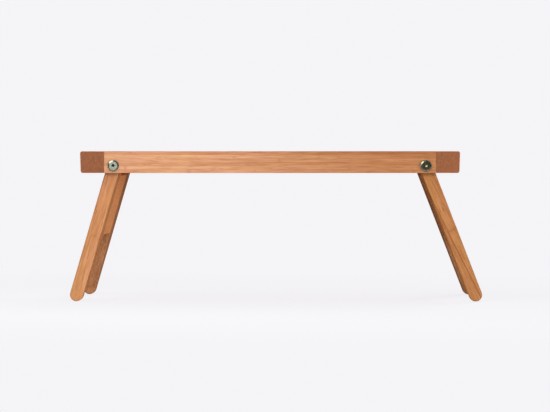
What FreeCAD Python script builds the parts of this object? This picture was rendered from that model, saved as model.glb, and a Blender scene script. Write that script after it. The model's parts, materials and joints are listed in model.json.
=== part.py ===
import FreeCAD, Part
import math
import os

# A folding bed tray table in bamboo, in millimetres, standing open on its legs.
# A shallow tray is carried by two leg frames, one near each end, that swing about bolts
# through the front and rear rails.  +Z is up, the long side runs along X and the front
# rail faces -Y.  The origin is on the floor, under the middle of the open table.

# ---- tray ----
TRAY_LENGTH = 610.0        # over both end bars
TRAY_DEPTH = 360.0         # over the front and rear rails
TABLE_HEIGHT = 241.5       # floor to the top edge of the rails
RAIL_HEIGHT = 35.0
RAIL_THICKNESS = 14.0
END_BAR_WIDTH = 39.0
END_BAR_SLANT = 1.2        # how far the outer face leans in at the bottom
END_BAR_CORNER = 3.5       # rounding of the two long outer corners
EASED_EDGE = 0.8           # light rounding of the other edges of the tray
PANEL_THICKNESS = 6.0
PANEL_TONGUE = 4.0         # what is left of the panel's thickness in the grooves
PANEL_DROP = 5.0           # top of the panel below the top edge of the rails
GROOVE_DEPTH = 5.0

# ---- leg frames ----
LEG_WIDTH = 21.0           # across a leg as seen from the front
LEG_EDGE = 1.3             # bevel along the edges of the legs and crossboards
LEG_BOARD_DEPTH = 70.0     # front to back, beside the crossboard
FOOT_DEPTH = 26.0          # front to back, at the foot
TAPER_BLEND = 14.0         # radius where the tapered edge starts and ends
TAPER_DROP = 4.0           # from the crossboard's lower edge to the start of the taper
CROSSBOARD_TOP = 13.0      # from the pivot down to the crossboard
CROSSBOARD_HEIGHT = 103.0
CROSSBOARD_THICKNESS = 19.0
TENON_THICKNESS = 8.0      # of the crossboard's end in the leg board
TENON_LENGTH = 14.0
TENON_SHOULDER = 9.0       # at the crossboard's top and bottom edges
PIVOT_HEIGHT = 11.7        # above the rails' underside
PIVOT_INSET_LEFT = 14.5    # from the end bar's inner face
PIVOT_INSET_RIGHT = 15.95

# ---- hardware ----
BOLT_RADIUS = 3.0
BOLT_HEAD_RADIUS = 8.5
BOLT_HEAD_HEIGHT = 3.0
BOLT_RIM_WIDTH = 1.8
BOLT_RIM_DROP = 1.2
SOCKET_ACROSS_FLATS = 5.0
SOCKET_DEPTH = 2.3
WASHER_RADIUS = 9.4
WASHER_THICKNESS = 0.8
SPACER_RADIUS = 9.0
SPACER_THICKNESS = 1.5
INSERT_RADIUS = 4.6
INSERT_LENGTH = 13.0
THREAD_ENGAGEMENT = 11.0   # of the bolt in the insert
RAIL_DOWEL_RADIUS = 3.0
RAIL_DOWEL_LENGTH = 36.0
RAIL_DOWEL_PITCH = 10.0

# ---- clearances ----
RUNNING_CLEARANCE = 0.08   # bolt in the rail, on the radius
SEAT_CLEARANCE = 0.05      # glued, pressed or screwed pieces in their holes
PANEL_CLEARANCE = 0.2      # round the panel's raised middle
BLIND_CLEARANCE = 0.5      # beyond the end of whatever fills a blind hole
TURNING_GAP = 0.15         # between flat faces that turn on each other
STOP_GAP = 0.15            # between an open leg and the end bar that stops it

# ---- places that follow ----
leg_radius = LEG_WIDTH / 2
rail_length = TRAY_LENGTH - 2 * END_BAR_WIDTH
rail_bottom = TABLE_HEIGHT - RAIL_HEIGHT
pivot_z = rail_bottom + PIVOT_HEIGHT
panel_bottom = TABLE_HEIGHT - PANEL_DROP - PANEL_THICKNESS
inner_depth = TRAY_DEPTH - 2 * RAIL_THICKNESS
frame_depth = inner_depth - 2 * (SPACER_THICKNESS + TURNING_GAP)
rail_web = RAIL_THICKNESS - GROOVE_DEPTH
crossboard_end = CROSSBOARD_TOP + CROSSBOARD_HEIGHT
bolt_hole_radius = BOLT_RADIUS + RUNNING_CLEARANCE
ORIGIN = FreeCAD.Vector(0, 0, 0)
ALONG_X = FreeCAD.Vector(1, 0, 0)
ALONG_Y = FreeCAD.Vector(0, 1, 0)
ALONG_Z = FreeCAD.Vector(0, 0, 1)


def open_angle(inset):
    """The lean from upright, in degrees, at which a leg's outer edge meets its stop."""
    corner_distance = math.hypot(inset, PIVOT_HEIGHT)
    corner_direction = math.atan2(PIVOT_HEIGHT, inset)
    edge_distance = leg_radius + STOP_GAP
    return math.degrees(math.acos(edge_distance / corner_distance) - corner_direction)


class LegSide:
    """Where one leg frame turns, how far it leans and how long its legs are."""

    def __init__(self, name, sign, inset):
        self.name = name
        self.sign = sign
        self.pivot_x = sign * (rail_length / 2 - inset)
        self.lean = open_angle(inset)
        upright = math.cos(math.radians(self.lean))
        self.length = (pivot_z - leg_radius) / upright
        sideways = self.length * math.sin(math.radians(self.lean))
        self.reach = abs(self.pivot_x) + sideways + leg_radius


left = LegSide("left", -1, PIVOT_INSET_LEFT)
right = LegSide("right", 1, PIVOT_INSET_RIGHT)
tray_x = (left.reach - right.reach) / 2


def block(low, high):
    """A box between two corners."""
    size = [high[axis] - low[axis] for axis in range(3)]
    return Part.makeBox(size[0], size[1], size[2], FreeCAD.Vector(*low))


def rod(radius, length, start, direction):
    """A cylinder from a point along a direction."""
    return Part.makeCylinder(radius, length, FreeCAD.Vector(*start), direction)


def prism(points, travel):
    """A flat outline, given by its corners, pushed along a vector."""
    corners = [FreeCAD.Vector(*point) for point in points]
    outline = Part.makePolygon(corners + corners[:1])
    return Part.Face(outline).extrude(travel)


def turned(profile, start, direction):
    """A profile of (radius, distance) corners turned about an axis from a point."""
    corners = [FreeCAD.Vector(radius, 0, distance) for radius, distance in profile]
    outline = Part.makePolygon(corners + corners[:1])
    solid = Part.Face(outline).revolve(ORIGIN, ALONG_Z, 360)
    solid.Placement = FreeCAD.Placement(
        FreeCAD.Vector(*start), FreeCAD.Rotation(ALONG_Z, direction)
    )
    return solid


def rounded(solid, radius, wanted):
    """The solid with the edges that the test picks rounded."""
    return solid.makeFillet(radius, [edge for edge in solid.Edges if wanted(edge)])


def bevelled(solid, width, wanted):
    """The solid with the edges that the test picks cut off at 45 degrees."""
    return solid.makeChamfer(width, [edge for edge in solid.Edges if wanted(edge)])


def near(value, target):
    return abs(value - target) < 0.001


def mirrored(solid):
    """The rear piece that matches a front one."""
    return solid.mirror(ORIGIN, ALONG_Y)


def joined(solids):
    """Separate pieces kept together in one node."""
    return Part.makeCompound(solids)


def save(name, shape):
    shape.exportStep("parts/" + name + ".step")


def place_tray(shape):
    """Moves a tray piece from the tray's own middle to its place in the table."""
    moved = shape.copy()
    moved.translate(FreeCAD.Vector(tray_x, 0, 0))
    return moved


def place_leg(shape, side):
    """Leans a leg piece out about its pivot and carries it to its place."""
    moved = shape.copy()
    moved.rotate(ORIGIN, ALONG_Y, -side.sign * side.lean)
    moved.translate(FreeCAD.Vector(tray_x + side.pivot_x, 0, pivot_z))
    return moved


def panel_groove(clearance):
    """The space that the panel's edges take up in the rails and end bars."""
    half_length = rail_length / 2 + GROOVE_DEPTH
    half_depth = inner_depth / 2 + GROOVE_DEPTH
    low = (-half_length, -half_depth, panel_bottom - clearance)
    high = (half_length, half_depth, panel_bottom + PANEL_TONGUE + clearance)
    return block(low, high)


def rail_dowel_places():
    """Start points of the dowels across the four corner joints."""
    lowest = (pivot_z + bolt_hole_radius + panel_bottom) / 2
    across = TRAY_DEPTH / 2 - rail_web / 2
    start = rail_length / 2 - RAIL_DOWEL_LENGTH / 2
    places = []
    for height in (lowest, lowest + RAIL_DOWEL_PITCH):
        for y in (-across, across):
            places.append((start, y, height))
            places.append((-start - RAIL_DOWEL_LENGTH, y, height))
    return places


def rail_dowel_holes():
    """The blind holes that take the corner dowels, on both sides of each joint."""
    radius = RAIL_DOWEL_RADIUS + SEAT_CLEARANCE
    length = RAIL_DOWEL_LENGTH + 2 * BLIND_CLEARANCE
    holes = []
    for x, y, z in rail_dowel_places():
        holes.append(rod(radius, length, (x - BLIND_CLEARANCE, y, z), ALONG_X))
    return joined(holes)


def tray_panel():
    """The board that things stand on: a raised middle, and thinner edges in the grooves."""
    half_length = rail_length / 2 + GROOVE_DEPTH - BLIND_CLEARANCE
    half_depth = inner_depth / 2 + GROOVE_DEPTH - BLIND_CLEARANCE
    shoulder = panel_bottom + PANEL_TONGUE
    edges = block((-half_length, -half_depth, panel_bottom), (half_length, half_depth, shoulder))
    half_length = rail_length / 2 - PANEL_CLEARANCE
    half_depth = inner_depth / 2 - PANEL_CLEARANCE
    top = panel_bottom + PANEL_THICKNESS
    middle = block((-half_length, -half_depth, panel_bottom), (half_length, half_depth, top))
    return edges.fuse(middle).removeSplitter()


def front_rail():
    """The long front rail: grooved inside, bored for a pivot bolt near each end."""
    low = (-rail_length / 2, -TRAY_DEPTH / 2, rail_bottom)
    high = (rail_length / 2, -inner_depth / 2, TABLE_HEIGHT)
    rail = rounded(
        block(low, high),
        EASED_EDGE,
        lambda edge: edge.BoundBox.XLength > rail_length / 2,
    )
    rail = rail.cut(panel_groove(SEAT_CLEARANCE))
    for side in (left, right):
        start = (side.pivot_x, -TRAY_DEPTH / 2, pivot_z)
        rail = rail.cut(rod(bolt_hole_radius, RAIL_THICKNESS, start, ALONG_Y))
    return rail.cut(rail_dowel_holes())


def end_bar():
    """The left end bar: rounded, slightly slanted outside and grooved inside."""
    inner = -rail_length / 2
    outer = inner - END_BAR_WIDTH
    front = -TRAY_DEPTH / 2
    outline = [
        (inner, front, rail_bottom),
        (outer + END_BAR_SLANT, front, rail_bottom),
        (outer, front, TABLE_HEIGHT),
        (inner, front, TABLE_HEIGHT),
    ]
    bar = prism(outline, ALONG_Y * TRAY_DEPTH)

    def is_outer_corner(edge):
        return edge.BoundBox.YLength > TRAY_DEPTH / 2 and edge.BoundBox.XMax < inner - 1

    def is_end_outline(edge):
        box = edge.BoundBox
        at_end = near(abs(box.YMin), TRAY_DEPTH / 2) and box.YLength < 0.001
        return at_end and box.XMin < inner - 0.001

    bar = rounded(bar, END_BAR_CORNER, is_outer_corner)
    bar = bevelled(bar, EASED_EDGE, is_end_outline)
    bar = bar.cut(panel_groove(SEAT_CLEARANCE))
    return bar.cut(rail_dowel_holes())


def tenon(growth):
    """The tongue on both ends of a crossboard, or its mortises when it is grown."""
    half_thickness = TENON_THICKNESS / 2 + growth
    half_length = frame_depth / 2 - LEG_BOARD_DEPTH + TENON_LENGTH
    if growth:
        half_length += BLIND_CLEARANCE
    top = -CROSSBOARD_TOP - TENON_SHOULDER + growth
    bottom = -crossboard_end + TENON_SHOULDER - growth
    return block((-half_thickness, -half_length, bottom), (half_thickness, half_length, top))


def front_leg_board(length):
    """One leg: round at the pivot and the foot, and tapered on its inner edge."""
    outer = -frame_depth / 2
    taper_top = crossboard_end + TAPER_DROP
    side_outline = [
        (-leg_radius, outer, leg_radius),
        (-leg_radius, outer + LEG_BOARD_DEPTH, leg_radius),
        (-leg_radius, outer + LEG_BOARD_DEPTH, -taper_top),
        (-leg_radius, outer + FOOT_DEPTH, -length),
        (-leg_radius, outer + FOOT_DEPTH, -length - leg_radius),
        (-leg_radius, outer, -length - leg_radius),
    ]
    side = prism(side_outline, ALONG_X * LEG_WIDTH)

    def is_taper_corner(edge):
        box = edge.BoundBox
        return near(box.ZMin, box.ZMax) and (near(box.ZMin, -taper_top) or near(box.ZMin, -length))

    side = rounded(side, TAPER_BLEND, is_taper_corner)
    shank = block(
        (-leg_radius, outer, -length),
        (leg_radius, outer + LEG_BOARD_DEPTH, 0),
    )
    pivot_end = rod(leg_radius, LEG_BOARD_DEPTH, (0, outer, 0), ALONG_Y)
    foot_end = rod(leg_radius, LEG_BOARD_DEPTH, (0, outer, -length), ALONG_Y)
    stadium = shank.fuse([pivot_end, foot_end]).removeSplitter()
    board = stadium.common(side).removeSplitter()

    def is_outline(edge):
        box = edge.BoundBox
        runs_across = box.XLength < 0.001 and box.ZLength < 0.001
        blend_line = box.ZLength < 0.001 and box.YLength < 0.001
        return not runs_across and not blend_line

    board = bevelled(board, LEG_EDGE, is_outline)
    insert_hole = rod(
        INSERT_RADIUS + SEAT_CLEARANCE, INSERT_LENGTH + BLIND_CLEARANCE, (0, outer, 0), ALONG_Y
    )
    return board.cut(insert_hole).cut(tenon(SEAT_CLEARANCE))


def crossboard():
    """The wide board that ties the two legs of a frame together."""
    half_thickness = CROSSBOARD_THICKNESS / 2
    half_length = frame_depth / 2 - LEG_BOARD_DEPTH
    board = block(
        (-half_thickness, -half_length, -crossboard_end),
        (half_thickness, half_length, -CROSSBOARD_TOP),
    )
    board = bevelled(board, LEG_EDGE, lambda edge: edge.BoundBox.YLength > half_length)
    return board.fuse(tenon(0)).removeSplitter()


def hexagon_socket(start):
    """The space that a hexagon key fills, from the face of the bolt's head."""
    corner = SOCKET_ACROSS_FLATS / math.sqrt(3)
    points = []
    for step in range(6):
        angle = math.radians(60 * step)
        points.append((corner * math.cos(angle), start, corner * math.sin(angle)))
    return prism(points, ALONG_Y * SOCKET_DEPTH)


def pivot_bolt():
    """The front bolt of a frame: flat head with a sloping rim, hexagon socket, plain shank."""
    head_seat = -TRAY_DEPTH / 2 - TURNING_GAP - WASHER_THICKNESS
    tip = -frame_depth / 2 + THREAD_ENGAGEMENT
    face = head_seat - BOLT_HEAD_HEIGHT
    shank_end = tip - face
    profile = [
        (0, 0),
        (BOLT_HEAD_RADIUS - BOLT_RIM_WIDTH, 0),
        (BOLT_HEAD_RADIUS, BOLT_RIM_DROP),
        (BOLT_HEAD_RADIUS, BOLT_HEAD_HEIGHT),
        (BOLT_RADIUS, BOLT_HEAD_HEIGHT),
        (BOLT_RADIUS, shank_end),
        (0, shank_end),
    ]
    bolt = turned(profile, (0, face, 0), ALONG_Y)
    return bolt.cut(hexagon_socket(face))


def ring(outer_radius, thickness, start):
    """A flat washer round the bolt."""
    disc = rod(outer_radius, thickness, (0, start, 0), ALONG_Y)
    return disc.cut(rod(BOLT_RADIUS + SEAT_CLEARANCE, thickness, (0, start, 0), ALONG_Y))


def head_washer():
    """The thin steel washer between the bolt's head and the rail."""
    start = -TRAY_DEPTH / 2 - TURNING_GAP - WASHER_THICKNESS
    return ring(WASHER_RADIUS, WASHER_THICKNESS, start)


def leg_spacer():
    """The slippery ring that keeps the leg off the rail."""
    return ring(SPACER_RADIUS, SPACER_THICKNESS, -frame_depth / 2 - SPACER_THICKNESS)


def threaded_insert():
    """The metal insert in the leg that takes the bolt's thread."""
    outer = -frame_depth / 2
    body = rod(INSERT_RADIUS, INSERT_LENGTH, (0, outer, 0), ALONG_Y)
    bore = rod(BOLT_RADIUS + SEAT_CLEARANCE, INSERT_LENGTH, (0, outer, 0), ALONG_Y)
    return body.cut(bore)


def rail_dowels():
    """The eight dowels of the tray's corner joints."""
    pegs = []
    for place in rail_dowel_places():
        pegs.append(rod(RAIL_DOWEL_RADIUS, RAIL_DOWEL_LENGTH, place, ALONG_X))
    return joined(pegs)


def save_tray():
    rail = front_rail()
    bar = end_bar()
    save("tray_panel", place_tray(tray_panel()))
    save("front_rail", place_tray(rail))
    save("rear_rail", place_tray(mirrored(rail)))
    save("left_end_bar", place_tray(bar))
    save("right_end_bar", place_tray(bar.mirror(ORIGIN, ALONG_X)))
    save("rail_dowels", place_tray(rail_dowels()))


def save_leg_frame(side):
    board = front_leg_board(side.length)
    save(side.name + "_front_leg_board", place_leg(board, side))
    save(side.name + "_rear_leg_board", place_leg(mirrored(board), side))
    save(side.name + "_crossboard", place_leg(crossboard(), side))
    matching = {
        "pivot_bolts": pivot_bolt(),
        "head_washers": head_washer(),
        "leg_spacers": leg_spacer(),
        "threaded_inserts": threaded_insert(),
    }
    for name, front in matching.items():
        save(side.name + "_" + name, place_leg(joined([front, mirrored(front)]), side))


os.makedirs("parts", exist_ok=True)
save_tray()
save_leg_frame(left)
save_leg_frame(right)
for leg_side in (left, right):
    print(
        leg_side.name,
        "pivot x %.4f z %.4f lean %.4f length %.3f"
        % (tray_x + leg_side.pivot_x, pivot_z, leg_side.lean, leg_side.length),
    )
print("tray middle x %.4f" % tray_x)
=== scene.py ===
import json
import math

import bpy
from mathutils import Matrix, Vector


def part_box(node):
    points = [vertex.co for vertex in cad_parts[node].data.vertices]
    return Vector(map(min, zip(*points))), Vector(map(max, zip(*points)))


# The looks of a folding bed tray table in lacquered bamboo: its grain, end grain and glued
# strips, the plated bolts, a pale studio, and the product shot's camera.  Lengths are in metres.

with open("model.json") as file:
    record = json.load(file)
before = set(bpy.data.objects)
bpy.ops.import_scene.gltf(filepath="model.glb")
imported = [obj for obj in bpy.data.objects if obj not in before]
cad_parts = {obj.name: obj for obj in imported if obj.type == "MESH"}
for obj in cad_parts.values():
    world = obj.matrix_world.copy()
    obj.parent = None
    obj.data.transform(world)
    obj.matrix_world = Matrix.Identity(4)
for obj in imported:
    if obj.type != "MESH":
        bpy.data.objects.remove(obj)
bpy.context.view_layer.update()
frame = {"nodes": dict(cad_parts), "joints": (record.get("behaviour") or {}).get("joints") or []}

# ---- what the frame gives ----
joint_named = {joint["name"]: joint for joint in frame["joints"]}


def leg_lean(side):
    """How far a leg frame leans from upright, in radians, worked out from its hinge's travel."""
    travel = joint_named[side + "_leg_fold"]["range_deg"][1]
    return math.radians(travel - 90)


def node_middle(node):
    low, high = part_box(node)
    return (low + high) / 2


rail_low, rail_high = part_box("front_rail")
rail_middle = (rail_low + rail_high) / 2

# ---- the photograph's frame ----
IMAGE_WIDTH = 550
IMAGE_HEIGHT = 412
SENSOR_WIDTH = 36.0
PIXEL_SIZE = 0.0016035               # on the front rail's face
RAIL_MIDDLE_PIXEL = (269.9, 162.1)   # the middle of the front rail's face
DEPTH_POINT_PIXEL = (335.0, 161.0)   # where all front-to-back edges run to
CAMERA_DISTANCE = 5.64               # from the front rail's face


# ---- shader maths ----
class Value:
    """A socket of a node tree, on which Python's operators build Math nodes."""

    def __init__(self, shader, socket):
        self.shader = shader
        self.socket = socket

    def math(self, operation, *inputs):
        return self.shader.node("ShaderNodeMath", {"operation": operation}, inputs)

    def __add__(self, other):
        return self.math("ADD", self, other)

    def __sub__(self, other):
        return self.math("SUBTRACT", self, other)

    def __rsub__(self, other):
        return self.math("SUBTRACT", other, self)

    def __mul__(self, other):
        return self.math("MULTIPLY", self, other)

    def __truediv__(self, other):
        return self.math("DIVIDE", self, other)

    __radd__ = __add__
    __rmul__ = __mul__

    def __abs__(self):
        return self.math("ABSOLUTE", self)

    def floor(self):
        return self.math("FLOOR", self)

    def fraction(self):
        return self.math("FRACT", self)

    def rise(self, low, high):
        """0 at low, 1 at high and smooth in between; low may be the greater of the two."""
        settings = {"interpolation_type": "SMOOTHSTEP"}
        return self.shader.node("ShaderNodeMapRange", settings, (self, low, high, 0.0, 1.0))


class Shader:
    """One node tree, in which every node comes from one method."""

    def __init__(self, tree):
        self.tree = tree

    def node(self, kind, settings, inputs=(), output=0):
        made = self.tree.nodes.new(kind)
        for name, setting in settings.items():
            setattr(made, name, setting)
        if not isinstance(inputs, dict):
            inputs = dict(enumerate(inputs))
        for key, value in inputs.items():
            self.feed(made.inputs[key], value)
        return Value(self, made.outputs[output])

    def feed(self, socket, value):
        if isinstance(value, Value):
            self.tree.links.new(value.socket, socket)
        else:
            socket.default_value = value

    def split(self, vector):
        made = self.node("ShaderNodeSeparateXYZ", {}, (vector,)).socket.node
        return [Value(self, socket) for socket in made.outputs]

    def length(self, x, y):
        squares = x * x + y * y
        return squares.math("SQRT", squares)

    def joined(self, x, y, z):
        return self.node("ShaderNodeCombineXYZ", {}, (x, y, z))

    def stretched(self, vector, scale):
        return self.node("ShaderNodeVectorMath", {"operation": "MULTIPLY"}, (vector, scale))

    def noise(self, vector, detail, roughness=0.5):
        inputs = {"Vector": vector, "Scale": 1.0, "Detail": detail, "Roughness": roughness}
        return self.node("ShaderNodeTexNoise", {}, inputs)

    def random(self, x, y, z):
        settings = {"noise_dimensions": "3D"}
        return self.node("ShaderNodeTexWhiteNoise", settings, (self.joined(x, y, z),))

    def mix(self, factor, first, second, blend_type="MIX"):
        settings = {"data_type": "RGBA", "blend_type": blend_type, "clamp_factor": True}
        inputs = {0: factor, 6: first, 7: second}
        return self.node("ShaderNodeMix", settings, inputs, output=2)

    def stained(self, tint, stain):
        return self.mix(1.0, tint, stain, "MULTIPLY")


class Finish(Shader):
    """One material with a Principled surface."""

    def __init__(self, name):
        self.material = bpy.data.materials.new(name)
        self.material.use_nodes = True
        super().__init__(self.material.node_tree)
        self.surface = self.tree.nodes["Principled BSDF"]

    def set(self, sockets):
        for name, value in sockets.items():
            self.feed(self.surface.inputs[name], value)

    def place(self, centre, turn=(0.0, 0.0, 0.0)):
        """Object coordinates, measured from a point and turned back by a rotation."""
        here = self.node("ShaderNodeTexCoord", {}, output="Object")
        inputs = {"Vector": here, "Location": tuple(centre), "Rotation": tuple(turn)}
        return self.node("ShaderNodeMapping", {"vector_type": "TEXTURE"}, inputs)

    def facing(self, direction):
        """How squarely the surface faces a direction or its opposite, from 0 to 1."""
        outward = self.node("ShaderNodeTexCoord", {}, output="Normal")
        settings = {"operation": "DOT_PRODUCT"}
        inputs = (outward, tuple(direction))
        return abs(self.node("ShaderNodeVectorMath", settings, inputs, output="Value"))

    def bump(self, height, depth):
        inputs = {"Height": height, "Distance": depth, "Strength": 1.0}
        self.set({"Normal": self.node("ShaderNodeBump", {}, inputs)})


def colour(red, green, blue):
    """A colour given as it reads on the screen, in the renderer's linear values."""
    channels = []
    for level in (red, green, blue):
        share = level / 255
        channels.append(((share + 0.055) / 1.055) ** 2.4 if share > 0.04045 else share / 12.92)
    return (*channels, 1.0)


def grey(level):
    return (level, level, level, 1.0)


# ---- bamboo ----
STRIP_WIDTH = 0.020          # a bamboo strip laid flat
STRIP_LAYER = 0.007          # the same strip's thickness
STRIP = (STRIP_WIDTH, STRIP_LAYER)
HAIRLINE = {"width": 0.00025, "shade": 0.35}       # a glue line that hardly shows
CANE_SPREAD = 5              # metres of cane that the strips are cut from, each at its own place
KNUCKLE_PITCH = 0.36         # from one growth knuckle of the cane to the next
KNUCKLE_SPREAD = 3           # pitches over which the strips' knuckles are shifted
KNUCKLE_WIDTH = 0.0016
HALO_WIDTH = 5               # of the shade round a knuckle, in knuckle widths
KNUCKLE_WAVER = 0.01         # how far the streaks pull a knuckle out of line, in pitches
FIBRE_DEPTH = 0.00003        # how deep the fibres stand under the lacquer
KNUCKLE_RIDGE = 1.5          # how high a knuckle stands, against the fibres
SEAM_CREASE = 4              # how deep a glue line lies, against the fibres

# cycles in a metre along, across and through the grain
FIBRE_SCALE = (26.0, 950.0, 950.0)
STREAK_SCALE = (11.0, 300.0, 300.0)
DASH_SCALE = (60.0, 640.0, 640.0)
FLECK_SCALE = (34.0, 420.0, 420.0)
CLOUD_SCALE = (5.0, 40.0, 40.0)
PATCH_SCALE = (14.0, 110.0, 110.0)
BUNDLE_SCALE = (1.0, 420.0, 200.0)

# how far each kind of figure takes the colour from pale to dark
PLAIN_SHADE = 0.36           # without any figure
FIGURE_SHADE = 0.8           # streaks, fibres and flecks, each
CANE_SHADE = 0.2             # from one strip to the next
CLOUD_SHADE = 0.55
DARK_ROW_SHADE = 0.26
DASH_SHADE = 0.7
KNUCKLE_SHADE = 0.28
HALO_SHADE = 0.2

# the noise at which these start and are in full
PATCH_RANGE = (0.45, 0.62)
DASH_RANGE = (0.62, 0.72)
BUNDLE_RANGE = (0.3, 0.7)
END_RANGE = (0.6, 0.85)      # how squarely a face lies across the grain to show as a cut end

PATCH_SHARE = 0.6
AMBER = (0.95, 0.98, 0.76, 1.0)        # how patches of yellower cane change the colour
BUNDLE_SHARE = 0.7
BUNDLE_TONE = (0.58, 0.58, 0.58, 1.0)  # how bundles of fibre darken a cut end
CUT_STREAKS = {"start": 0.3, "share": 0.5, "paleness": 0.35}
FIBRE_GLOSS = 0.2            # how much the fibres vary the roughness
CUT_GLOSS = 0.16             # how much rougher a cut end is


ALONG_X = (1, 0, 0)
ALONG_Y = (0, 1, 0)
ALONG_Z = (0, 0, 1)


def grain_turn(along, across):
    """The rotation whose X runs with the fibres and whose Y runs across the glued strips."""
    along = Vector(along)
    across = Vector(across)
    return Matrix((along, across, along.cross(across))).transposed().to_euler()


def glue_line(position, pitch, line):
    """How strongly the glue shows between strips or layers that are a pitch apart."""
    distance = (0.5 - abs((position / pitch).fraction() - 0.5)) * pitch
    return distance.rise(line["width"], 0.0) * line["shade"]


def knuckle_marks(length_way, cane, streaks):
    """The ridges of the cane's growth knuckles, and the shade on and round them."""
    phase = ((length_way + cane * KNUCKLE_PITCH * KNUCKLE_SPREAD) / KNUCKLE_PITCH).fraction()
    distance = abs(phase - 0.5 + (streaks - 0.5) * KNUCKLE_WAVER) * KNUCKLE_PITCH
    ridge = distance.rise(KNUCKLE_WIDTH, 0.0)
    halo = distance.rise(KNUCKLE_WIDTH * HALO_WIDTH, 0.0)
    return ridge, ridge * KNUCKLE_SHADE + halo * HALO_SHADE


def cut_end(wood, place, pale, end_grain, streaks):
    """The colour of a face cut across the grain, where the bundles of fibre end."""
    bundles = wood.noise(wood.stretched(place, BUNDLE_SCALE), detail=3)
    bundles = bundles.rise(*BUNDLE_RANGE) * BUNDLE_SHARE
    cut = wood.mix(bundles, end_grain, wood.stained(end_grain, BUNDLE_TONE))
    pale_cut = wood.mix(CUT_STREAKS["paleness"], end_grain, pale)
    return wood.mix((streaks - CUT_STREAKS["start"]) * CUT_STREAKS["share"], cut, pale_cut)


def bamboo(name, tones, centre, along, across, strip, seed, lacquer,
           figure=1.0, drift=None, dark_row=None, glue=HAIRLINE):
    """Laminated cane under lacquer.

    tones are the pale, dark and end-grain colours, seed picks the cane, figure is how lively the
    grain is, drift darkens the colour along the piece (partly painted light on the rails), the
    strips of dark_row are darker cane, and glue is the line between two layers.
    """
    pale, dark, end_grain = [colour(*tone) for tone in tones]
    wood = Finish(name)
    width, layer = strip
    grain = wood.place(centre, grain_turn(along, across))
    length_way, cross_way, depth_way = wood.split(grain)
    # strips are counted from the middle of the piece, and each has its own cane
    cross_way_from_seam = cross_way + width / 2
    depth_way_from_seam = depth_way + layer / 2
    row = (cross_way_from_seam / width).floor()
    sheet = (depth_way_from_seam / layer).floor()
    cane = wood.random(row, sheet, seed)
    place = wood.joined(length_way + cane * CANE_SPREAD + seed, cross_way, depth_way)

    fibres = wood.noise(wood.stretched(place, FIBRE_SCALE), detail=3, roughness=0.6)
    streaks = wood.noise(wood.stretched(place, STREAK_SCALE), detail=3, roughness=0.55)
    dashes = wood.noise(wood.stretched(place, DASH_SCALE), detail=2)
    flecks = wood.noise(wood.stretched(place, FLECK_SCALE), detail=1)
    clouds = wood.noise(wood.stretched(place, CLOUD_SCALE), detail=1)
    patches = wood.noise(wood.stretched(place, PATCH_SCALE), detail=2)

    shade = ((streaks - 0.5) + (fibres - 0.5) + (flecks - 0.5)) * FIGURE_SHADE
    shade = shade + (cane - 0.5) * CANE_SHADE + (clouds - 0.5) * CLOUD_SHADE
    shade = PLAIN_SHADE + shade * figure
    if dark_row is not None:
        shade = shade + row.math("COMPARE", row, dark_row, 0.5) * DARK_ROW_SHADE
    tint = wood.mix(shade, pale, dark)
    amber = patches.rise(*PATCH_RANGE) * (PATCH_SHARE * figure)
    tint = wood.mix(amber, tint, wood.stained(tint, AMBER))
    # darker towards one end: partly the cane, partly a painted fall-off of sheen and light
    if drift:
        low, high, last = drift
        tint = wood.mix(length_way.rise(low, high), tint, wood.stained(tint, last))
    tint = wood.mix(dashes.rise(*DASH_RANGE) * (DASH_SHADE * figure), tint, dark)

    knuckle_ridge, knuckle_shade = knuckle_marks(length_way, cane, streaks)
    tint = wood.mix(knuckle_shade * figure, tint, dark)
    seam = glue_line(cross_way_from_seam, width, HAIRLINE)
    seam = seam.math("MAXIMUM", seam, glue_line(depth_way_from_seam, layer, glue))
    tint = wood.mix(seam, tint, dark)

    cut = cut_end(wood, place, pale, end_grain, streaks)
    end_face = wood.facing(along).rise(*END_RANGE)
    wood.set({
        "Base Color": wood.mix(end_face, tint, cut),
        "Roughness": lacquer["roughness"] + (fibres - 0.5) * FIBRE_GLOSS + end_face * CUT_GLOSS,
        "Specular IOR Level": lacquer["specular"],
        "Coat Weight": lacquer["coat"],
        "Coat Roughness": lacquer["coat_roughness"],
    })
    wood.bump(fibres + knuckle_ridge * KNUCKLE_RIDGE - seam * SEAM_CREASE, FIBRE_DEPTH)
    return wood.material


# ---- metal, nylon and beech ----
# Clouds, pits, rings and pores are in cycles in a metre, and a range is the noise at which they
# start and are in full.  gloss is how much they vary the roughness, and depth how deep they are.
PLATING = {"clouds": 420.0, "cloud_range": (0.3, 0.75), "gloss": 0.05,
           "pits": 2600.0, "depth": 0.000003}
PLATING_SHADE = 0.88         # of the darker clouds, against the brighter ones
BRASS = {"pale": (190, 158, 95), "dark": (160, 126, 68), "rings": (60.0, 3000.0, 60.0),
         "roughness": 0.28, "gloss": 0.14, "depth": 0.00002}
NYLON = {"pale": (226, 223, 212), "dark": (214, 210, 197), "clouds": 180.0,
         "roughness": 0.5, "gloss": 0.1, "depth": 0.00002}
BEECH = {"pale": (212, 178, 132), "dark": (182, 142, 98), "pores": (40.0, 1400.0, 1400.0),
         "pore_range": (0.35, 0.7), "roughness": 0.72, "gloss": 0.1, "depth": 0.00003}
SOCKET_DEPTH = 0.0004        # how far below the bolt's face the painted light in its socket starts
SOCKET_EDGE = 0.8            # the share of the socket's radius at which its painted light is in full
SOCKET_ROUGHNESS = 0.45      # how much rougher the socket's painted spot is


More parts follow.
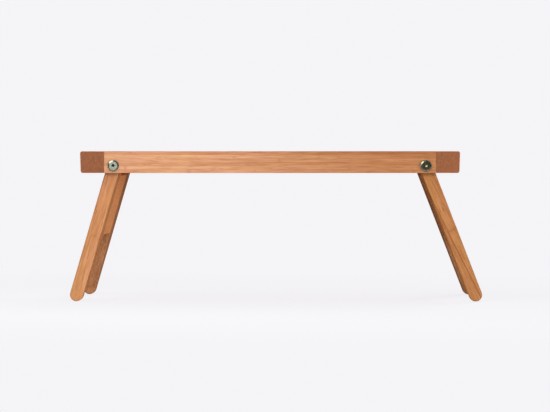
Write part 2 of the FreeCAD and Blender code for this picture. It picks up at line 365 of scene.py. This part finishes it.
def plated_steel(name, tone, roughness, centre, face=0.0, socket=None):
    """Zinc plating, faintly cloudy.  A bolt has its face's place, and painted light in its socket.
    """
    metal = Finish(name)
    place = metal.place(centre)
    clouds = metal.noise(metal.stretched(place, (PLATING["clouds"],) * 3), detail=3)
    pits = metal.noise(metal.stretched(place, (PLATING["pits"],) * 3), detail=2)
    cloud_tone = colour(*[level * PLATING_SHADE for level in tone])
    tint = metal.mix(clouds.rise(*PLATING["cloud_range"]), colour(*tone), cloud_tone)
    roughness = roughness + (clouds - 0.5) * PLATING["gloss"]
    metallic = 1.0
    if socket:
        x, y, z = metal.split(place)
        x = x - socket["middle"][0]
        z = z - socket["middle"][1]
        radius = metal.length(x, z)
        # the socket's painted light: a dark tone for painted shade in the recess, a pale one for a
        # painted highlight
        painted_socket_mask = radius.rise(socket["radius"], socket["radius"] * SOCKET_EDGE)
        painted_socket_mask = painted_socket_mask * abs(y).rise(face, face - SOCKET_DEPTH)
        tint = metal.mix(painted_socket_mask, tint, colour(*socket["steel"]))
        roughness = roughness + painted_socket_mask * SOCKET_ROUGHNESS
        metallic = 1 - painted_socket_mask * (1 - socket["metallic"])
    metal.set({"Base Color": tint, "Metallic": metallic, "Roughness": roughness})
    metal.bump(pits, PLATING["depth"])
    return metal.material


def turned_brass(name, centre):
    brass = Finish(name)
    rings = brass.noise(brass.stretched(brass.place(centre), BRASS["rings"]), detail=2)
    brass.set({
        "Base Color": brass.mix(rings, colour(*BRASS["pale"]), colour(*BRASS["dark"])),
        "Metallic": 1.0,
        "Roughness": BRASS["roughness"] + rings * BRASS["gloss"],
    })
    brass.bump(rings, BRASS["depth"])
    return brass.material


def moulded_nylon(name, centre):
    nylon = Finish(name)
    clouds = nylon.noise(nylon.stretched(nylon.place(centre), (NYLON["clouds"],) * 3), detail=2)
    nylon.set({
        "Base Color": nylon.mix(clouds, colour(*NYLON["pale"]), colour(*NYLON["dark"])),
        "Roughness": NYLON["roughness"] + (clouds - 0.5) * NYLON["gloss"],
    })
    nylon.bump(clouds, NYLON["depth"])
    return nylon.material


def raw_beech(name, centre, along):
    beech = Finish(name)
    place = beech.place(centre, grain_turn(along, ALONG_Z))
    pores = beech.noise(beech.stretched(place, BEECH["pores"]), detail=3)
    open_pores = pores.rise(*BEECH["pore_range"])
    beech.set({
        "Base Color": beech.mix(open_pores, colour(*BEECH["pale"]), colour(*BEECH["dark"])),
        "Roughness": BEECH["roughness"] + (pores - 0.5) * BEECH["gloss"],
    })
    beech.bump(pores, BEECH["depth"])
    return beech.material


def finish_node(node, material):
    """Gives a CAD piece its finish in its own material slots."""
    slots = frame["nodes"][node].data.materials
    slots.clear()
    slots.append(material)


# ---- the pieces ----
# tones are a piece's pale, dark and end-grain colours, as they read on the screen, some with
# painted light in them as marked
RAIL_TONES = ((213, 158, 120), (160, 99, 62), (150, 88, 56))
END_BAR_TONES = {
    "left": ((212, 152, 108), (160, 100, 62), (141, 82, 48)),
    "right": ((212, 152, 108), (160, 100, 62), (145, 86, 51)),
}
PANEL_TONES = ((222, 164, 114), (176, 112, 66), (150, 88, 56))
# the right front leg is darker than the left: partly its cane, partly painted light falling off to
# the right
LEG_TONES = {
    "left": ((210, 152, 109), (154, 94, 54), (146, 88, 56)),
    "right": ((190, 133, 87), (136, 81, 44), (142, 84, 52)),
}
# one cane as lit and shaded copies: the left crossboard's paler tone is painted light, the right
# one's darker tone painted shade
CROSSBOARD_LIT_AND_SHADED_TONES = {
    "left": ((226, 160, 110), (170, 106, 66), (146, 88, 56)),
    "right": ((186, 128, 88), (134, 82, 50), (140, 84, 54)),
}
# the rear legs are darker than the front ones as painted shade, for the shadow under the tray
SHADED_REAR_LEG_TONES = {
    "left": ((186, 132, 95), (130, 80, 50), (134, 82, 52)),
    "right": ((166, 116, 82), (118, 73, 45), (130, 78, 50)),
}
# one leg is glued from two layers, and its dark seam and its grain slope across its front
SLOPING_SEAM = {
    "board": "right_front_leg_board",
    "slope": 0.093,              # radians
    "offset": -0.0046,           # from the leg's middle to the seam
    "layer": 0.05,
    "glue": {"width": 0.0013, "shade": 0.85},
}
RAIL_ROWS = 6                # strips in a rail's height
RAIL_TONE_AND_SHEEN_DRIFT = (-0.16, 0.24, (0.73, 0.61, 0.45, 1.0))    # darker and browner towards one end: partly the cane, partly a painted fall-off of sheen and light
QUIET = 0.6                  # the figure of a board with quieter grain
# the plating's colour, tinted apart on the two bolts as painted light: paler on the left, darker
# and yellower on the right
BOLT_PLATING_AND_LIGHT_TONES = {"left": (244, 248, 220), "right": (234, 230, 182)}
BOLT_ROUGHNESS = {"left": 0.13, "right": 0.09}
WASHER_TONE = (224, 218, 202)
WASHER_ROUGHNESS = 0.3
# painted light in each socket: painted shade in the left, a painted highlight in the right; middle
# is measured from the bolt's axis
SOCKET_PAINTED_LIGHT = {
    "left": {"middle": (0.0001, 0.0005), "radius": 0.0027, "steel": (70, 74, 58), "metallic": 0.9},
    "right": {"middle": (0.0013, -0.0012), "radius": 0.0023, "steel": (224, 222, 190),
              "metallic": 0.2},
}
SATIN = {"roughness": 0.42, "specular": 0.4, "coat": 0.18, "coat_roughness": 0.25}
MATTE = {"roughness": 0.6, "specular": 0.0, "coat": 0.0, "coat_roughness": 0.25}
# seeds, which give each piece its own cane: the first of each kind, and the step between sides
RAIL_SEED = 1
PANEL_SEED = 4
END_BAR_SEED = 6
LEG_SEED = 10
LEG_SEED_STEP = 3
CROSSBOARD_SEED = 20


def down_leg(side, slope=0.0):
    """The way down a side's legs, or one that slopes across them by an angle in radians."""
    outward = -1 if side == "left" else 1
    lean = leg_lean(side) + slope
    return (outward * math.sin(lean), 0, -math.cos(lean))


def finish_rail(rail, seed):
    """Strips stacked in the rail's height, with a seam in its middle and darker cane under that."""
    low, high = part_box(rail)
    strip = ((high.z - low.z) / RAIL_ROWS, (high.y - low.y) / 2)
    seam_middle = node_middle(rail) + Vector((0, 0, strip[0] / 2))
    finish_node(rail, bamboo(rail + "_bamboo", RAIL_TONES, seam_middle, ALONG_X, ALONG_Z, strip,
                             seed, SATIN, drift=RAIL_TONE_AND_SHEEN_DRIFT, dark_row=RAIL_ROWS // 2 - 1))


def finish_panel():
    finish_node("tray_panel", bamboo("tray_panel_bamboo", PANEL_TONES, node_middle("tray_panel"),
                                     ALONG_X, ALONG_Y, STRIP, PANEL_SEED, SATIN))


def finish_end_bar(side, seed):
    bar = side + "_end_bar"
    finish_node(bar, bamboo(bar + "_bamboo", END_BAR_TONES[side], node_middle(bar), ALONG_Y,
                            ALONG_X, STRIP, seed, SATIN))


def finish_leg_board(side, place, tones, seed):
    """The grain runs down the leg, and on one board it slopes across it with the seam."""
    board = f"{side}_{place}_leg_board"
    middle = node_middle(board)
    fibres = down_leg(side)
    strip = STRIP
    glue = HAIRLINE
    if board == SLOPING_SEAM["board"]:
        fibres = down_leg(side, SLOPING_SEAM["slope"])
        strip = (STRIP_WIDTH, SLOPING_SEAM["layer"])
        from_seam = SLOPING_SEAM["offset"] + SLOPING_SEAM["layer"] / 2
        middle = middle + Vector(fibres).cross(Vector(ALONG_Y)) * from_seam
        glue = SLOPING_SEAM["glue"]
    finish_node(board, bamboo(board + "_bamboo", tones, middle, fibres, ALONG_Y, strip, seed,
                              MATTE, glue=glue))


def finish_crossboard(side, seed):
    board = side + "_crossboard"
    finish_node(board, bamboo(board + "_bamboo", CROSSBOARD_LIT_AND_SHADED_TONES[side], node_middle(board),
                              ALONG_Y, down_leg(side), STRIP, seed, MATTE, figure=QUIET))


def finish_pivots(side):
    """A leg frame's bolts, with their washers, spacers and inserts."""
    pivot = Vector(joint_named[side + "_leg_fold"]["pos_m"])
    bolt_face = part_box(side + "_pivot_bolts")[1].y
    bolts = plated_steel(side + "_bolt_zinc", BOLT_PLATING_AND_LIGHT_TONES[side], BOLT_ROUGHNESS[side], pivot,
                         bolt_face, SOCKET_PAINTED_LIGHT[side])
    finish_node(side + "_pivot_bolts", bolts)
    washers = plated_steel(side + "_washer_zinc", WASHER_TONE, WASHER_ROUGHNESS, pivot)
    finish_node(side + "_head_washers", washers)
    finish_node(side + "_leg_spacers", moulded_nylon(side + "_spacer_nylon", pivot))
    finish_node(side + "_threaded_inserts", turned_brass(side + "_insert_brass", pivot))


for number, rail in enumerate(("front_rail", "rear_rail")):
    finish_rail(rail, RAIL_SEED + number)
finish_panel()
for number, side in enumerate(("left", "right")):
    finish_end_bar(side, END_BAR_SEED + number)
    leg_seed = LEG_SEED + number * LEG_SEED_STEP
    finish_leg_board(side, "front", LEG_TONES[side], leg_seed)
    finish_leg_board(side, "rear", SHADED_REAR_LEG_TONES[side], leg_seed + 1)
    finish_crossboard(side, CROSSBOARD_SEED + number)
    finish_pivots(side)
finish_node("rail_dowels", raw_beech("dowel_beech", rail_middle, ALONG_X))


# ---- studio ----
BACKDROP = colour(245, 244, 247)
AMBIENT = 0.34
ROOM = 0.05                  # the dim room behind the camera, as a gloss shows it
CARD_EDGE = -0.02            # the card's edge, as a slope from straight ahead of the object
CARD_BLUR = 0.015            # half the width of that edge
CARD_TURN = (0.3, 0.6)       # how far forward a ray points where the card starts and is in full
HORIZON_BLUR = 0.1
FLOOR_LIGHT = 0.94           # what falls on the floor where nothing shades it
SHADOW_SHARE = 0.12          # how much of the floor's brightness a shadow can take
SHADOW_REACH = (1.6, 0.7)    # from the origin: no shadow at the first, all of it at the second
ROOM_FLOOR = (-0.33, -0.1)   # in a gloss the floor is the dim room's before this span of y
FLOOR_WHITE = 0.8            # how much light the floor throws back on the object
FLOOR_HALF = 30.0
FLOOR_GAP = 0.0002           # between the feet and the floor

LIGHTS = (
    # name, place, target, width, height, watts, and whether a gloss shows it
    ("top_light", (-0.55, -0.66, 0.95), (-0.1, -0.1, 0.2), 0.6, 0.3, 1.6, False),
    ("glint_light", (-0.62, -0.7, 0.95), (0.0, -0.2, 0.22), 1.4, 0.7, 3.9, True),
    ("front_light", (0.2, -2.6, 0.95), (0.0, 0.0, 0.15), 0.8, 0.5, 28.3, False),
    ("right_light", (4.2, -2.8, 0.42), (-0.2, 0.0, 0.15), 1.6, 0.6, 99.0, False),
    ("rear_light", (1.0, 3.4, 2.8), (0.0, 0.0, 0.15), 1.6, 1.6, 90.0, False),
)


def less(tone, amount):
    return (*[level - amount for level in tone[:3]], 1.0)


def ray_kinds(shader):
    """1 or 0 for a ray from the camera, in a gloss and through glass."""
    light_path = shader.node("ShaderNodeLightPath", {}).socket.node
    kinds = ("Is Camera Ray", "Is Glossy Ray", "Is Transmission Ray")
    return [Value(shader, light_path.outputs[kind]) for kind in kinds]


def seen_directly(shader):
    """1 for rays that show the pale studio itself."""
    camera, glossy, through = ray_kinds(shader)
    return camera.math("MAXIMUM", camera, glossy.math("MAXIMUM", glossy, through))


def make_floor():
    """A pale floor that keeps the object's shadow near it and turns into backdrop further off."""
    mesh = bpy.data.meshes.new("studio_floor")
    turns = ((-1, -1), (1, -1), (1, 1), (-1, 1))
    corners = [(x * FLOOR_HALF, y * FLOOR_HALF, -FLOOR_GAP) for x, y in turns]
    mesh.from_pydata(corners, [], [(0, 1, 2, 3)])
    floor = bpy.data.objects.new("studio_floor", mesh)
    bpy.context.scene.collection.objects.link(floor)

    paper = Finish("studio_paper")
    x, y, z = paper.split(paper.place((0.0, 0.0, 0.0)))
    near = paper.length(x, y).rise(*SHADOW_REACH)
    shown = seen_directly(paper)
    camera_ray = ray_kinds(paper)[0]
    shaded = grey(SHADOW_SHARE)
    paper.set({
        "Base Color": paper.mix(shown, grey(FLOOR_WHITE), paper.mix(near, grey(0), shaded)),
        "Roughness": 1.0,
        "Specular IOR Level": 0.0,
    })
    glow = paper.mix(near, BACKDROP, less(BACKDROP, SHADOW_SHARE * FLOOR_LIGHT))
    # in front of the object a gloss shows the dim room's floor
    studio_side = camera_ray.math("MAXIMUM", camera_ray, y.rise(*ROOM_FLOOR))
    glow = paper.mix(studio_side, grey(ROOM), glow)
    paper.set({"Emission Color": paper.mix(shown, grey(0), glow), "Emission Strength": 1.0})
    mesh.materials.append(paper.material)


def make_world():
    """Even light all round.  A gloss shows a pale backdrop and a white card left of the camera."""
    world = bpy.data.worlds.new("studio")
    world.use_nodes = True
    bpy.context.scene.world = world
    sky = Shader(world.node_tree)
    x, y, z = sky.split(sky.node("ShaderNodeTexCoord", {}, output="Generated"))
    backdrop = y.rise(-HORIZON_BLUR, HORIZON_BLUR)
    card = (x + y * CARD_EDGE).rise(CARD_BLUR, -CARD_BLUR) * (0 - y).rise(*CARD_TURN)
    room = sky.mix(backdrop.math("MAXIMUM", backdrop, card), grey(ROOM), BACKDROP)
    shown = sky.mix(ray_kinds(sky)[1], BACKDROP, room)
    background = sky.tree.nodes["Background"]
    sky.feed(background.inputs["Color"], sky.mix(seen_directly(sky), grey(AMBIENT), shown))
    background.inputs["Strength"].default_value = 1.0


def soft_light(name, place, target, width, height, power, in_gloss):
    lamp = bpy.data.lights.new(name, "AREA")
    lamp.shape = "RECTANGLE"
    lamp.size = width
    lamp.size_y = height
    lamp.energy = power
    light = bpy.data.objects.new(name, lamp)
    light.location = place
    light.rotation_euler = (Vector(target) - Vector(place)).to_track_quat("-Z", "Y").to_euler()
    light.visible_camera = False
    light.visible_glossy = in_gloss
    bpy.context.scene.collection.objects.link(light)


def make_camera():
    """The product shot's camera: level with the tray, a little right of its middle, far off."""
    focal_pixels = CAMERA_DISTANCE / PIXEL_SIZE
    camera = bpy.data.cameras.new("product_camera")
    camera.sensor_width = SENSOR_WIDTH
    camera.lens = SENSOR_WIDTH * focal_pixels / IMAGE_WIDTH
    camera.clip_end = 100.0
    shot = bpy.data.objects.new("product_camera", camera)
    right_of_rail = (DEPTH_POINT_PIXEL[0] - RAIL_MIDDLE_PIXEL[0]) * PIXEL_SIZE
    above_rail = (RAIL_MIDDLE_PIXEL[1] - DEPTH_POINT_PIXEL[1]) * PIXEL_SIZE
    across = rail_middle.x + right_of_rail
    height = rail_middle.z + above_rail
    shot.location = (across, rail_low.y - CAMERA_DISTANCE, height)
    right = IMAGE_WIDTH / 2 - DEPTH_POINT_PIXEL[0]
    up = DEPTH_POINT_PIXEL[1] - IMAGE_HEIGHT / 2
    aim = Vector((right, focal_pixels, up))
    shot.rotation_euler = aim.to_track_quat("-Z", "Y").to_euler()
    bpy.context.scene.collection.objects.link(shot)
    bpy.context.scene.camera = shot


make_floor()
make_world()
make_camera()
for light in LIGHTS:
    soft_light(*light)
bpy.context.scene.view_settings.view_transform = "Standard"
